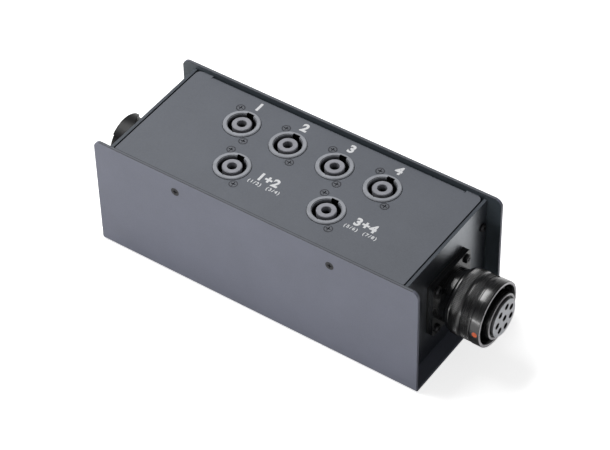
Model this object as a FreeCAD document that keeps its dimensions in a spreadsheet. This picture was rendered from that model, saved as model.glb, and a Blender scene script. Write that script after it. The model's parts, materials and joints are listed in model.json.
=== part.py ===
"""Portable breakout box: folded sheet box, six twist-lock sockets, two multipin connectors.

Millimetres, +Z up, X along the box towards the connector with the coupling ring, Y to the back.
The origin is in the middle of the underside.  Every size is a cell of the sheet "sizes";
sketches, primitives and placements are bound to it.
"""
import FreeCAD, Part
import Sketcher
import math
import os
import re

V = FreeCAD.Vector

DRIVING = {
    # folded box
    "box_long": 235.0, "box_wide": 93.0, "box_high": 84.0, "sheet_thick": 2.0,
    "bend_inner": 0.5, "wall_corner": 5.0,
    # top panel, an inverted tray between the walls
    "panel_long": 209.4, "panel_drop": 3.0, "panel_corner": 4.0,
    "flange_long": 186.0, "flange_high": 16.0, "relief_slit": 0.4,
    "cover_screw_x": 56.2, "cover_screw_drop": 8.0,
    # end plates and their corner brackets
    "plate_gap": 1.0, "plate_side_gap": 0.3, "plate_base_gap": 0.2, "plate_corner": 1.5,
    "plate_screw_inset": 5.0, "plate_screw_low": 20.0, "plate_screw_high": 62.0,
    "bracket_leg": 12.0, "bracket_low": 8.0, "bracket_top": 70.0,
    # M3 fasteners
    "shank_radius": 1.5, "shank_hole": 1.7, "thread_fit": 0.05,
    "flat_head_radius": 2.9, "flat_head_deep": 1.4, "flat_head_fit": 0.08,
    "pan_head_radius": 2.9, "pan_head_high": 1.8, "nut_flats": 5.5, "nut_high": 2.4,
    "clinch_radius": 2.8, "clinch_high": 3.0, "recess_wide": 0.7, "recess_span": 3.2,
    "recess_deep": 1.0, "cover_screw_long": 8.0, "plate_screw_long": 8.0,
    "socket_screw_long": 9.0, "flange_screw_long": 10.0,
    # four-pole sockets
    "socket_pitch": 34.4, "row_shift": -1.0, "row_gap": 3.0, "row_offset": 1.0,
    "flange_rim_x": 1.2, "flange_rim_y": 3.7, "socket_flange_thick": 3.0,
    "socket_flange_corner": 3.0, "screw_inset_x": 2.3, "screw_outset_y": 0.2,
    "collar_radius": 11.8, "collar_rise": 1.0, "collar_chamfer": 0.5, "collar_clear": 0.3,
    "slot_radius": 8.9, "slot_deep": 19.0, "socket_deep": 21.0,
    "post_radius": 6.2, "post_sink": 0.4, "post_hole_radius": 3.05, "post_hole_deep": 16.0,
    "post_fit": 0.05, "post_base_radius": 8.8, "post_base_thick": 2.0,
    "key_wide": 5.0, "key_radius": 10.1, "key_deep": 12.0,
    "notch_wide": 3.0, "notch_radius": 9.9,
    "blade_thick": 0.8, "blade_wide": 3.6, "blade_fit": 0.1, "blade_top": 12.0,
    "blade_end": 31.0, "blade_inset": 0.1, "blade_eye": 0.7,
    # multipin connectors, shared sizes
    "axis_high": 42.0, "gasket_thick": 0.8, "square_side": 41.3, "square_corner": 3.0,
    "square_thick": 3.2, "square_pitch": 31.75, "rear_radius": 16.9, "rear_clear": 0.3,
    "rear_deep": 17.7, "barrel_wall": 1.7, "insert_fit": 0.1, "insert_back": 12.0,
    "insert_nut_thick": 3.0, "insert_nut_wall": 1.8, "spanner_slot": 2.5,
    "contact_rim": 4.4, "first_angle": 76.0, "outer_contacts": 7.0,
    "contact_radius": 1.8, "contact_fit": 0.1, "contact_end": 23.7, "cup_bore": 1.3,
    "cup_deep": 6.2,
    # connector with the coupling ring
    "neck_radius": 17.5, "neck_end": 10.8, "barrel_radius": 15.0, "barrel_end": 38.9,
    "barrel_chamfer": 0.4, "insert_step": 1.0, "nose_step": 0.8,
    "insert_nose_end": 40.8, "socket_contact_end": 33.0, "socket_bore": 1.1,
    "socket_bore_deep": 12.8, "keyway_wide": 3.0, "keyway_deep": 0.8, "keyway_long": 9.0,
    "ring_gap": 1.0, "ring_bore_fit": 0.3, "ring_end": 36.1, "ring_web": 9.2,
    "collar_ring_radius": 20.0, "collar_ring_long": 2.2, "knurl_root_radius": 20.7,
    "knurl_radius": 21.2, "knurl_long": 6.0, "knurl_teeth": 96.0, "ring_groove_long": 2.0,
    "ring_groove_radius": 20.1, "smooth_radius": 21.4, "step_long": 1.0, "ring_inner": 19.3,
    "spring_thick": 0.4, "spring_rise": 0.6, "spring_gap": 0.3, "spring_radius": 17.4,
    "snap_thick": 1.1, "snap_radius": 17.6, "snap_groove_deep": 0.6, "snap_fit": 0.05,
    "snap_opening": 4.0,
    "pin_radius": 1.6, "pin_fit": 0.02, "pin_tip": 16.8, "pin_root": 20.4, "pin_back": 2.9,
    "pin_angle": 62.0, "dot_radius": 1.75, "dot_fit": 0.03, "dot_sink": 0.4,
    "dot_proud": 0.05,
    # receptacle connector
    "land_radius": 18.4, "land_end": 9.0,
    "receptacle_radius": 18.0, "receptacle_end": 24.3, "receptacle_bore": 15.4,
    "receptacle_face": 7.0, "receptacle_step": 2.0, "entry_angle": 36.0,
    "entry_floor": 16.2, "entry_long": 5.0, "ramp_drop": 10.0, "ramp_turn": 70.0,
    "ramp_radius": 1.9, "pin_contact_radius": 1.2, "pin_contact_end": 19.5,
    "rib_wide": 2.6, "rib_radius": 14.5, "key_angle": 300.0,
    # leads
    "lead_radius": 1.4, "strand_radius": 1.2, "strand_long": 5.0, "loom_high": 26.0,
    "loom_squeeze": 0.45, "loom_straight": 54.0, "loom_leave": 76.0, "loom_bend": 12.0,
    "branch_radius": 1.2, "branch_bend": 5.0, "branch_run": 13.0, "branch_reach": 7.6,
    "branch_step": 3.0, "sleeve_radius": 2.0, "sleeve_long": 7.0, "sleeve_fit": 0.05,
    "tie_inner": 5.25, "tie_thick": 1.0, "tie_wide": 3.0, "tie_head": 4.0,
    "tie_outer_x": 45.3, "tie_inner_x": 9.3,
}

DERIVED = [
    ("bend_outer", "=bend_inner + sheet_thick"),
    ("relief_deep", "=bend_outer"),
    ("wall_face", "=box_wide / 2 - sheet_thick"),
    ("panel_top", "=box_high - panel_drop"),
    ("plate_in", "=panel_long / 2 + plate_gap"),
    ("plate_out", "=plate_in + sheet_thick"),
    ("plate_half", "=wall_face - plate_side_gap"),
    ("plate_screw_y", "=wall_face - plate_screw_inset"),
    ("collar_hole", "=collar_radius + collar_clear"),
    ("socket_flange_x", "=2 * (collar_radius + flange_rim_x)"),
    ("socket_flange_y", "=2 * (collar_radius + flange_rim_y)"),
    ("socket_screw_x", "=collar_radius - screw_inset_x"),
    ("socket_screw_y", "=collar_radius + screw_outset_y"),
    ("back_row_y", "=(socket_flange_y + row_gap) / 2 + row_offset"),
    ("front_row_y", "=(socket_flange_y + row_gap) / 2 - row_offset"),
    ("square_face", "=gasket_thick + square_thick"),
    ("square_hole", "=square_pitch / 2"),
    ("rear_hole", "=rear_radius + rear_clear"),
    ("shell_bore", "=barrel_radius - barrel_wall"),
    ("insert_radius", "=shell_bore - insert_fit"),
    ("insert_nose_radius", "=shell_bore - nose_step"),
    ("insert_nut_bore", "=shell_bore - insert_nut_wall"),
    ("circle_radius", "=insert_nose_radius - contact_rim"),
    ("contact_hole", "=contact_radius + contact_fit"),
    ("ring_start", "=neck_end + ring_gap"),
    ("ring_web_end", "=ring_start + ring_web"),
    ("knurl_one", "=ring_start + collar_ring_long + 0.3"),
    ("knurl_one_end", "=knurl_one + knurl_long"),
    ("knurl_two", "=knurl_one_end + ring_groove_long"),
    ("knurl_two_end", "=knurl_two + knurl_long"),
    ("snap_start", "=ring_web_end + 2 * spring_gap + 2 * spring_rise + spring_thick"),
    ("blade_radius", "=slot_radius + blade_inset"),
    ("post_chord", "=sqrt(post_radius * post_radius - blade_wide * blade_wide / 4)"),
    ("post_blade_radius", "=post_chord - blade_inset - blade_thick"),
]

doc = FreeCAD.newDocument("breakout_box")
sizes = doc.addObject("Spreadsheet::Sheet", "sizes")
nodes = []


def fill_sheet():
    """Write the driving sizes and the sizes worked out from them, one row each."""
    rows = [(name, repr(size)) for name, size in DRIVING.items()] + DERIVED
    for row, (name, content) in enumerate(rows, start=1):
        sizes.set("A%d" % row, name)
        sizes.set("B%d" % row, content)
        sizes.setAlias("B%d" % row, name)
    doc.recompute()
    return {name for name, content in rows}


ALIASES = fill_sheet()


def bound(text):
    """The expression with every sheet name spelled out as a cell of the sheet."""
    return re.sub(r"[a-z_]+", lambda m: "sizes." + m[0] if m[0] in ALIASES else m[0], str(text))


def value(text):
    """The number an expression works out to."""
    return float(sizes.evalExpression(bound(text)))


def place(item, x="0", y="0", z="0", axis=V(0, 0, 1), angle=0.0):
    """Put an item at a bound position with a fixed turn."""
    item.Placement = FreeCAD.Placement(V(value(x), value(y), value(z)),
                                       FreeCAD.Rotation(axis, angle))
    for letter, text in zip("xyz", (x, y, z)):
        item.setExpression("Placement.Base." + letter, bound(text))
    return item


# ---------------------------------------------------------------- sketches and bodies

def sketch_on(body, name, role, lift):
    """An empty sketch on one of the body's own planes, lifted along its normal."""
    sketch = body.newObject("Sketcher::SketchObject", name)
    plane = next(item for item in body.Origin.OriginFeatures if item.Role == role)
    sketch.AttachmentSupport = [(plane, "")]
    sketch.MapMode = "FlatFace"
    sketch.setExpression("AttachmentOffset.Base.z", bound(lift))
    return sketch


def fix_point(sketch, index, position, texts):
    """Bind one sketch point to two expressions."""
    for kind, text in zip(("DistanceX", "DistanceY"), texts):
        rule = Sketcher.Constraint(kind, -1, 1, index, position, value(text))
        number = sketch.addConstraint(rule)
        sketch.setExpression("Constraints[%d]" % number, bound(text))


def draw(body, name, role, corners=(), circles=(), lift="0"):
    """A sketch of one closed polygon and any circles (x, y, radius)."""
    sketch = sketch_on(body, name, role, lift)
    spots = [V(value(a), value(b), 0) for a, b in corners]
    count = len(spots)
    for index in range(count):
        following = spots[(index + 1) % count]
        sketch.addGeometry(Part.LineSegment(spots[index], following), False)
    for index in range(count):
        sketch.addConstraint(Sketcher.Constraint("Coincident", index, 2, (index + 1) % count, 1))
    for index, texts in enumerate(corners):
        fix_point(sketch, index, 1, texts)
    for index, (a, b, radius) in enumerate(circles, start=count):
        centre = V(value(a), value(b), 0)
        sketch.addGeometry(Part.Circle(centre, V(0, 0, 1), value(radius)), False)
        fix_point(sketch, index, 3, (a, b))
        rule = Sketcher.Constraint("Radius", index, value(radius))
        number = sketch.addConstraint(rule)
        sketch.setExpression("Constraints[%d]" % number, bound(radius))
    return sketch


def pad(body, name, sketch, length):
    """Extrude a sketch along its plane's normal."""
    feature = body.newObject("PartDesign::Pad", name)
    feature.Profile = sketch
    feature.setExpression("Length", bound(length))
    body.Tip = feature
    return feature


def pocket(body, name, sketch, depth, flip=False):
    """Cut a sketch out of the body and make sure that material left it."""
    doc.recompute()
    before = body.Shape.Volume
    feature = body.newObject("PartDesign::Pocket", name)
    feature.Profile = sketch
    feature.setExpression("Length", bound(depth))
    feature.Reversed = flip
    body.Tip = feature
    doc.recompute()
    if body.Shape.Volume > before - 0.01:
        raise RuntimeError("pocket %s removed nothing" % name)
    return feature


def fillet(body, name, radius, wanted):
    """Round the edges of the body that the test picks out."""
    doc.recompute()
    base = body.Tip
    edges = ["Edge%d" % number for number, edge in enumerate(base.Shape.Edges, start=1)
             if wanted(edge)]
    if not edges:
        raise RuntimeError("no edge to round for " + name)
    feature = body.newObject("PartDesign::Fillet", name)
    feature.Base = (base, edges)
    feature.setExpression("Radius", bound(radius))
    body.Tip = feature
    return feature


def runs_along(edge, letter):
    """True for a straight edge parallel to the named axis."""
    box = edge.BoundBox
    spans = {"X": box.XLength, "Y": box.YLength, "Z": box.ZLength}
    return spans[letter] > 0.3 and edge.Length - spans[letter] < 1e-6


def lathe(name, corners, along):
    """A body turned about X (corners are x, radius) or about Z (corners are radius, z)."""
    body = doc.addObject("PartDesign::Body", name)
    sketch = draw(body, name + "_profile", "XZ_Plane", corners)
    feature = body.newObject("PartDesign::Revolution", name + "_turn")
    feature.Profile = sketch
    feature.ReferenceAxis = (sketch, ["H_Axis" if along == "X" else "V_Axis"])
    feature.Angle = 360
    body.Tip = feature
    return body


def slab(name, role, corners, circles, lift, length):
    """A body padded from one sketch."""
    body = doc.addObject("PartDesign::Body", name)
    sketch = draw(body, name + "_outline", role, corners, circles, lift)
    pad(body, name + "_pad", sketch, length)
    return body


# ---------------------------------------------------------------- primitives and booleans

def rod(name, radius, length, x="0", y="0", z="0", axis=V(0, 0, 1), angle=0.0):
    """A cylinder that grows along its turned Z from the given point."""
    item = doc.addObject("Part::Cylinder", name)
    item.setExpression("Radius", bound(radius))
    item.setExpression("Height", bound(length))
    return place(item, x, y, z, axis, angle)


def block(name, start, span):
    """A box from its lowest corner."""
    item = doc.addObject("Part::Box", name)
    for side, text in zip(("Length", "Width", "Height"), span):
        item.setExpression(side, bound(text))
    return place(item, *start)


def cone(name, low, high, length, x="0", y="0", z="0", axis=V(0, 0, 1), angle=0.0):
    """A truncated cone that grows along its turned Z."""
    item = doc.addObject("Part::Cone", name)
    item.setExpression("Radius1", bound(low))
    item.setExpression("Radius2", bound(high))
    item.setExpression("Height", bound(length))
    return place(item, x, y, z, axis, angle)


def together(name, items):
    """A compound of items that do not overlap."""
    item = doc.addObject("Part::Compound", name)
    item.Links = items
    return item


def fused(name, items):
    """The union of the items."""
    item = doc.addObject("Part::MultiFuse", name)
    item.Shapes = items
    item.Refine = True
    return item


def cut(name, base, tools):
    """The base less the tools; something must come off."""
    item = doc.addObject("Part::Cut", name)
    item.Base = base
    item.Tool = tools[0] if len(tools) == 1 else together(name + "_tools", tools)
    doc.recompute()
    if item.Shape.Volume > item.Base.Shape.Volume - 0.001:
        raise RuntimeError("cut %s removed nothing" % name)
    return item


def copies(name, master, spots):
    """Linked copies of a master, one per spot (x, y, z, axis, angle)."""
    links = []
    for number, spot in enumerate(spots, start=1):
        link = doc.addObject("App::Link", "%s_%d" % (name, number))
        link.LinkedObject = master
        links.append(place(link, *spot))
    return together(name, links)


def node(label, item):
    """Name an item as one of the exported sub-parts."""
    item.Label = label
    nodes.append(item)
    return item


def solid_feature(name, shape):
    """A document object for a shape that no sketch or primitive describes."""
    item = doc.addObject("Part::Feature", name)
    item.Shape = shape
    return item


UP = (V(1, 0, 0), 0.0)
FRONT = (V(1, 0, 0), 90.0)
BACK = (V(1, 0, 0), -90.0)
RIGHT = (V(0, 1, 0), 90.0)
LEFT = (V(0, 1, 0), -90.0)
SIGNS = ((1, 1), (1, -1), (-1, 1), (-1, -1))


# ---------------------------------------------------------------- fasteners

def cross_recess(name, top):
    """Cross-shaped tool for a screw drive, sunk from the height top."""
    half = "-recess_span / 2"
    thin = "-recess_wide / 2"
    low = "%s - recess_deep" % top
    one = block(name + "_a", (half, thin, low), ("recess_span", "recess_wide", "recess_deep + 1"))
    two = block(name + "_b", (thin, half, low), ("recess_wide", "recess_span", "recess_deep + 1"))
    return fused(name, [one, two])


def flat_screw(name, length):
    """Countersunk screw, head face at z 0, shank downwards."""
    body = lathe(name + "_blank", [
        ("0", "0"), ("flat_head_radius", "0"), ("shank_radius", "-flat_head_deep"),
        ("shank_radius", "-%s + 0.4" % length), ("shank_radius - 0.4", "-" + length),
        ("0", "-" + length)], "Z")
    return cut(name, body, [cross_recess(name + "_cross", "0")])


def pan_screw(name, length):
    """Pan head screw, head seated at z 0, shank downwards."""
    body = lathe(name + "_blank", [
        ("0", "pan_head_high"), ("pan_head_radius - 0.8", "pan_head_high"),
        ("pan_head_radius", "pan_head_high - 0.8"), ("pan_head_radius", "0"),
        ("shank_radius", "0"), ("shank_radius", "-%s + 0.4" % length),
        ("shank_radius - 0.4", "-" + length), ("0", "-" + length)], "Z")
    return cut(name, body, [cross_recess(name + "_cross", "pan_head_high")])


def hex_nut(name):
    """Plain hexagon nut hanging down from z 0."""
    prism = doc.addObject("Part::Prism", name + "_blank")
    prism.Polygon = 6
    prism.setExpression("Circumradius", bound("nut_flats / sqrt(3)"))
    prism.setExpression("Height", bound("nut_high"))
    place(prism, z="-nut_high")
    bore = rod(name + "_bore", "shank_radius + thread_fit", "nut_high + 2", z="-nut_high - 1")
    return cut(name, prism, [bore])


def clinch_nut(name):
    """Round press nut hanging down from z 0."""
    return lathe(name, [
        ("shank_radius + thread_fit", "0"), ("clinch_radius", "0"),
        ("clinch_radius", "-clinch_high + 0.3"), ("clinch_radius - 0.3", "-clinch_high"),
        ("shank_radius + thread_fit", "-clinch_high")], "Z")


def flat_seat(name, x, y, z, turn):
    """Countersink and clearance hole through one sheet, mouth at the given point."""
    sink = cone(name + "_sink", "shank_radius + flat_head_fit", "flat_head_radius + flat_head_fit",
                "flat_head_deep", z="-flat_head_deep")
    mouth = rod(name + "_mouth", "flat_head_radius + flat_head_fit", "1")
    hole = rod(name + "_hole", "shank_hole", "sheet_thick + 2", z="-sheet_thick - 1")
    return place(fused(name, [sink, mouth, hole]), x, y, z, *turn)


# ---------------------------------------------------------------- sheet metal

def cover_spots(depth):
    """The four cover screw stations, at a depth below the walls' outer faces."""
    height = "panel_top - cover_screw_drop"
    out = "(box_wide / 2 - (%s))" % depth
    return [("%d * cover_screw_x" % sx, "%d * %s" % (sy, out), height,
             *(BACK if sy > 0 else FRONT)) for sx, sy in SIGNS]


def outer_shell():
    """Base, front wall and back wall bent from one sheet."""
    body = slab("shell_fold", "YZ_Plane", [
        ("-box_wide / 2", "0"), ("box_wide / 2", "0"), ("box_wide / 2", "box_high"),
        ("wall_face", "box_high"), ("wall_face", "sheet_thick"),
        ("-wall_face", "sheet_thick"), ("-wall_face", "box_high"),
        ("-box_wide / 2", "box_high")], (), "-box_long / 2", "box_long")
    long_low = value("sheet_thick") / 2
    fillet(body, "shell_bend_out", "bend_outer",
           lambda e: runs_along(e, "X") and e.BoundBox.ZMax < long_low)
    level = value("sheet_thick")
    fillet(body, "shell_bend_in", "bend_inner",
           lambda e: runs_along(e, "X") and abs(e.BoundBox.ZMax - level) < 1e-6)
    top = value("box_high")
    fillet(body, "shell_corners", "wall_corner",
           lambda e: runs_along(e, "Y") and abs(e.BoundBox.ZMax - top) < 1e-6)
    seats = [flat_seat("shell_seat_%d" % number, x, y, z, turn)
             for number, (x, y, z, *turn) in enumerate(cover_spots("0"), start=1)]
    node("outer_shell", cut("outer_shell", body, seats))


def socket_centres():
    """Bound centres of the six sockets: back row from the left, then the front row."""
    spots = [(step, "back_row_y") for step in (-1.5, -0.5, 0.5, 1.5)]
    spots += [(step, "-front_row_y") for step in (-1, 1)]
    return [("%s * socket_pitch + row_shift" % step, y) for step, y in spots]


def socket_screw_spots(height):
    """Two screw stations per socket, on one diagonal."""
    spots = []
    for x, y in socket_centres():
        for sign in (1, -1):
            spots.append(("%s - %d * socket_screw_x" % (x, sign),
                          "%s + %d * socket_screw_y" % (y, sign), height, *UP))
    return spots


def top_panel():
    """Panel with its two long edges folded down, slit free of the flat end tabs."""
    half = "panel_long / 2"
    slit = "(flange_long / 2 + relief_slit)"
    neck = "(wall_face - relief_deep)"
    quarter = [(half, "wall_face"), (slit, "wall_face"), (slit, neck)]
    corners = []
    for sx, sy, order in ((1, 1, 1), (-1, 1, -1), (-1, -1, 1), (1, -1, -1)):
        corners += [("%d * %s" % (sx, a), "%d * %s" % (sy, b)) for a, b in quarter[::order]]
    body = slab("panel_fold", "XY_Plane", corners, (), "panel_top - sheet_thick", "sheet_thick")
    low = "panel_top - flange_high"
    under = "panel_top - sheet_thick"
    inner = "(wall_face - sheet_thick)"
    fold = draw(body, "panel_channel", "YZ_Plane", [
        ("-wall_face", low), ("-wall_face", "panel_top"), ("wall_face", "panel_top"),
        ("wall_face", low), (inner, low), (inner, under), ("-" + inner, under),
        ("-" + inner, low)], (), "-flange_long / 2")
    pad(body, "panel_flanges", fold, "flange_long")
    wall = value("wall_face")
    top = value("panel_top")
    inside = value("wall_face - sheet_thick")
    reach = value("flange_long / 2") + 0.01
    fillet(body, "panel_bend_out", "bend_outer",
           lambda e: runs_along(e, "X") and abs(e.BoundBox.ZMax - top) < 1e-6
           and abs(abs(e.CenterOfMass.y) - wall) < 1e-6 and e.BoundBox.XMax < reach
           and e.BoundBox.XMin > -reach)
    fillet(body, "panel_bend_in", "bend_inner",
           lambda e: runs_along(e, "X") and abs(abs(e.CenterOfMass.y) - inside) < 1e-6
           and abs(e.CenterOfMass.z - value(under)) < 1e-6)
    end = value(half)
    fillet(body, "panel_corners", "panel_corner",
           lambda e: runs_along(e, "Z") and abs(abs(e.CenterOfMass.x) - end) < 1e-6)
    holes = [(x, y, "collar_hole") for x, y in socket_centres()]
    flap = draw(body, "panel_holes", "XY_Plane", (), holes, "panel_top")
    pocket(body, "panel_cut", flap, "sheet_thick")
    tools = [flat_seat("panel_seat_%d" % number, x, y, z, turn)
             for number, (x, y, z, *turn) in enumerate(socket_screw_spots("panel_top"), start=1)]
    tools += [rod("panel_bolt_%d" % number, "shank_hole", "sheet_thick + 2", x, y, z, *turn)
              for number, (x, y, z, *turn)
              in enumerate(cover_spots("2 * sheet_thick + 1"), start=1)]
    node("top_panel", cut("top_panel", body, tools))


def end_plate(label, x, angle):
    """End plate with the connector cut-out and corner screw holes; outer face at local x 0."""
    high = "panel_top"
    low = "sheet_thick + plate_base_gap"
    circles = [("0", "axis_high", "rear_hole")]
    circles += [("%d * square_hole" % sy, "axis_high + %d * square_hole" % sz, "shank_hole")
                for sy, sz in SIGNS]
    circles += [("%d * plate_screw_y" % sy, height, "shank_hole")
                for sy in (1, -1) for height in ("plate_screw_low", "plate_screw_high")]
    body = slab(label + "_body", "YZ_Plane", [
        ("-plate_half", low), ("plate_half", low), ("plate_half", high),
        ("-plate_half", high)], circles, "-sheet_thick", "sheet_thick")
    fillet(body, label + "_corners", "plate_corner",
           lambda e: runs_along(e, "X") and abs(e.CenterOfMass.z - value(low)) < 1e-6
           and e.Length > 1)
    node(label, place(body, x, angle=angle))


def bracket(label, sx, sy):
    """Corner angle that joins an end plate to a wall."""
    inner_x = "%d * (plate_in - bracket_leg)" % sx
    inner_y = "%d * (wall_face - bracket_leg)" % sy
    corners = [
        ("%d * plate_in" % sx, "%d * wall_face" % sy),
        (inner_x, "%d * wall_face" % sy),
        (inner_x, "%d * (wall_face - sheet_thick)" % sy),
        ("%d * (plate_in - sheet_thick)" % sx, "%d * (wall_face - sheet_thick)" % sy),
        ("%d * (plate_in - sheet_thick)" % sx, inner_y),
        ("%d * plate_in" % sx, inner_y)]
    body = slab(label + "_angle", "XY_Plane", corners, (), "bracket_low",
                "bracket_top - bracket_low")
    holes = [rod("%s_hole_%d" % (label, number), "shank_hole", "sheet_thick + 2",
                 "%d * (plate_in - sheet_thick / 2) - sheet_thick / 2 - 1" % sx,
                 "%d * plate_screw_y" % sy, height, *RIGHT)
             for number, height in enumerate(("plate_screw_low", "plate_screw_high"), start=1)]
    node(label, cut(label, body, holes))


def plate_spots(depth):
    """Corner screw stations of both end plates, at a depth below their outer faces."""
    return [("%d * (plate_out - (%s))" % (sx, depth), "%d * plate_screw_y" % sy, height,
             *(RIGHT if sx > 0 else LEFT))
            for sx, sy in SIGNS for height in ("plate_screw_low", "plate_screw_high")]


def box_fasteners():
    """Screws and nuts of the cover, the end plates and the sockets."""
    cover = flat_screw("cover_screw", "cover_screw_long")
    clinch = clinch_nut("press_nut")
    corner = pan_screw("plate_screw", "plate_screw_long")
    fixing = flat_screw("socket_screw", "socket_screw_long")
    nut = hex_nut("plain_nut")
    node("cover_screws", copies("cover_screws", cover, cover_spots("0")))
    node("cover_clinch_nuts", copies("cover_clinch_nuts", clinch, cover_spots("2 * sheet_thick")))
    node("end_plate_screws", copies("end_plate_screws", corner, plate_spots("0")))
    node("bracket_press_nuts",
         copies("bracket_press_nuts", clinch, plate_spots("2 * sheet_thick")))
    node("socket_screws", copies("socket_screws", fixing, socket_screw_spots("panel_top")))
    below = "panel_top - sheet_thick - socket_flange_thick"
    node("socket_nuts", copies("socket_nuts", nut, socket_screw_spots(below)))
    return nut


# ---------------------------------------------------------------- four-pole sockets

def socket_housing():
    """Collar, square flange and slotted barrel; z 0 is the panel's top face."""
    fit = "(post_radius + post_fit)"
    body = lathe("housing_blank", [
        (fit, "-socket_deep"), ("collar_radius", "-socket_deep"),
        ("collar_radius", "collar_rise - collar_chamfer"),
        ("collar_radius - collar_chamfer", "collar_rise"),
        ("slot_radius + collar_chamfer", "collar_rise"),
        ("slot_radius", "collar_rise - collar_chamfer"),
        ("slot_radius", "-slot_deep"), (fit, "-slot_deep")], "Z")
    half_x = "socket_flange_x / 2"
    half_y = "socket_flange_y / 2"
    screws = [("-%d * socket_screw_x" % sign, "%d * socket_screw_y" % sign, "shank_hole")
              for sign in (1, -1)]
    flange = draw(body, "housing_flange", "XY_Plane", [
        ("-" + half_x, "-" + half_y), (half_x, "-" + half_y), (half_x, half_y),
        ("-" + half_x, half_y)], [("0", "0", "collar_radius - 1")] + screws,
        "-sheet_thick - socket_flange_thick")
    pad(body, "housing_plate", flange, "socket_flange_thick")
    edge = value(half_x)
    fillet(body, "housing_corners", "socket_flange_corner",
           lambda e: runs_along(e, "Z") and abs(abs(e.CenterOfMass.x) - edge) < 1e-6)
    reach = "collar_rise + key_deep"
    key = draw(body, "housing_key", "XY_Plane", [
        ("-key_wide / 2", "slot_radius - 1"), ("key_wide / 2", "slot_radius - 1"),
        ("key_wide / 2", "key_radius"), ("-key_wide / 2", "key_radius")], (), "collar_rise")
    pocket(body, "housing_key_cut", key, reach)
    notch = draw(body, "housing_notch", "XY_Plane", [
        ("-notch_wide / 2", "-slot_radius + 0.4"), ("notch_wide / 2", "-slot_radius + 0.4"),
        ("0", "-notch_radius")], (), "collar_rise")
    pocket(body, "housing_notch_cut", notch, reach)
    slots = [block("housing_slot_%d" % number,
                   (low, "-blade_wide / 2 - blade_fit", "-socket_deep - 1"),
                   ("blade_thick + blade_inset + blade_fit + 0.5",
                    "blade_wide + 2 * blade_fit", "socket_deep + 1 - blade_top + blade_fit"))
             for number, low in enumerate(
                 ("slot_radius - 0.5", "-slot_radius - blade_thick - blade_inset - blade_fit"),
                 start=1)]
    return cut("socket_housing", body, slots)


def socket_insert():
    """Centre post with its blind hole and base disc."""
    top = "(collar_rise - post_sink)"
    base = "-socket_deep - post_base_thick"
    body = lathe("post_blank", [
        ("0", base), ("post_base_radius", base), ("post_base_radius", "-socket_deep"),
        ("post_radius", "-socket_deep"), ("post_radius", top + " - 0.4"),
        ("post_radius - 0.4", top), ("post_hole_radius + 0.3", top),
        ("post_hole_radius", top + " - 0.3"), ("post_hole_radius", "-post_hole_deep"),
        ("0", "-post_hole_deep")], "Z")
    slots = [block("post_slot_%d" % number,
                   ("-blade_wide / 2 - blade_fit", low, base + " - 1"),
                   ("blade_wide + 2 * blade_fit", "post_radius + 0.5 - post_blade_radius + blade_fit",
                    "socket_deep + post_base_thick + 1 - blade_top + blade_fit"))
             for number, low in enumerate(
                 ("post_blade_radius - blade_fit", "-post_radius - 0.5"), start=1)]
    return cut("socket_insert", body, slots)


def socket_contacts():
    """Four flat blades with solder eyes, two in the barrel wall and two in the post."""
    blade = slab("blade", "XZ_Plane", [
        ("-blade_wide / 2", "-blade_top"), ("blade_wide / 2", "-blade_top"),
        ("blade_wide / 2", "-blade_end + 1"), ("blade_wide / 2 - 0.6", "-blade_end"),
        ("-blade_wide / 2 + 0.6", "-blade_end"), ("-blade_wide / 2", "-blade_end + 1")],
        [("0", "-blade_end + 2", "blade_eye")], "0", "blade_thick")
    axis = V(0, 0, 1)
    spots = [("blade_radius", "0", "0", axis, 90.0), ("-blade_radius", "0", "0", axis, -90.0),
             ("0", "post_blade_radius", "0", axis, 180.0),
             ("0", "-post_blade_radius", "0", axis, 0.0)]
    return copies("socket_contacts", blade, spots)


def sockets():
    """Six sockets, each with housing, insert and contacts of its own."""
    masters = {"housing": socket_housing(), "insert": socket_insert(),
               "contacts": socket_contacts()}
    for number, (x, y) in enumerate(socket_centres(), start=1):
        for kind, master in masters.items():
            label = "socket_%d_%s" % (number, kind)
            node(label, copies(label, master, [(x, y, "panel_top", *UP)]))


# ---------------------------------------------------------------- multipin connectors

def contact_angles():
    """Angles of the outer contacts, from +Y towards +Z."""
    count = int(value("outer_contacts"))
    return [value("first_angle") - 360.0 * step / count for step in range(count)]


def contact_spots(mirror=1):
    """Local y and z of the centre contact and of the circle round it."""
    spots = [("0", "0")]
    for angle in contact_angles():
        spots.append(("%d * circle_radius * %.9f" % (mirror, math.cos(math.radians(angle))),
                      "circle_radius * %.9f" % math.sin(math.radians(angle))))
    return spots


def square_outline(side):
    """Corners of a square of the given side about the origin."""
    half = "%s / 2" % side
    return [("-" + half, "-" + half), (half, "-" + half), (half, half), ("-" + half, half)]


def flange_holes():
    """The four fixing holes of a square flange."""
    return [("%d * square_hole" % sy, "%d * square_hole" % sz, "shank_hole") for sy, sz in SIGNS]


def round_corners(body, name):
    """Round the upright corners of a square flange."""
    edge = value("square_side / 2")
    fillet(body, name, "square_corner",
           lambda e: runs_along(e, "X") and abs(abs(e.CenterOfMass.y) - edge) < 1e-6
           and abs(abs(e.CenterOfMass.z) - edge) < 1e-6)


def connector_frame(item, side):
    """Put a connector piece on the right or the left end plate, local +x outwards."""
    x = "plate_out" if side > 0 else "-plate_out"
    return place(item, x, "0", "axis_high", V(0, 0, 1), 0.0 if side > 0 else 180.0)


def gasket(label, side):
    """Flat seal between a flange and its end plate."""
    holes = flange_holes() + [("0", "0", "rear_hole")]
    body = slab(label, "YZ_Plane", square_outline("square_side"), holes, "0", "gasket_thick")
    round_corners(body, label + "_corners")
    node(label, connector_frame(body, side))


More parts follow.
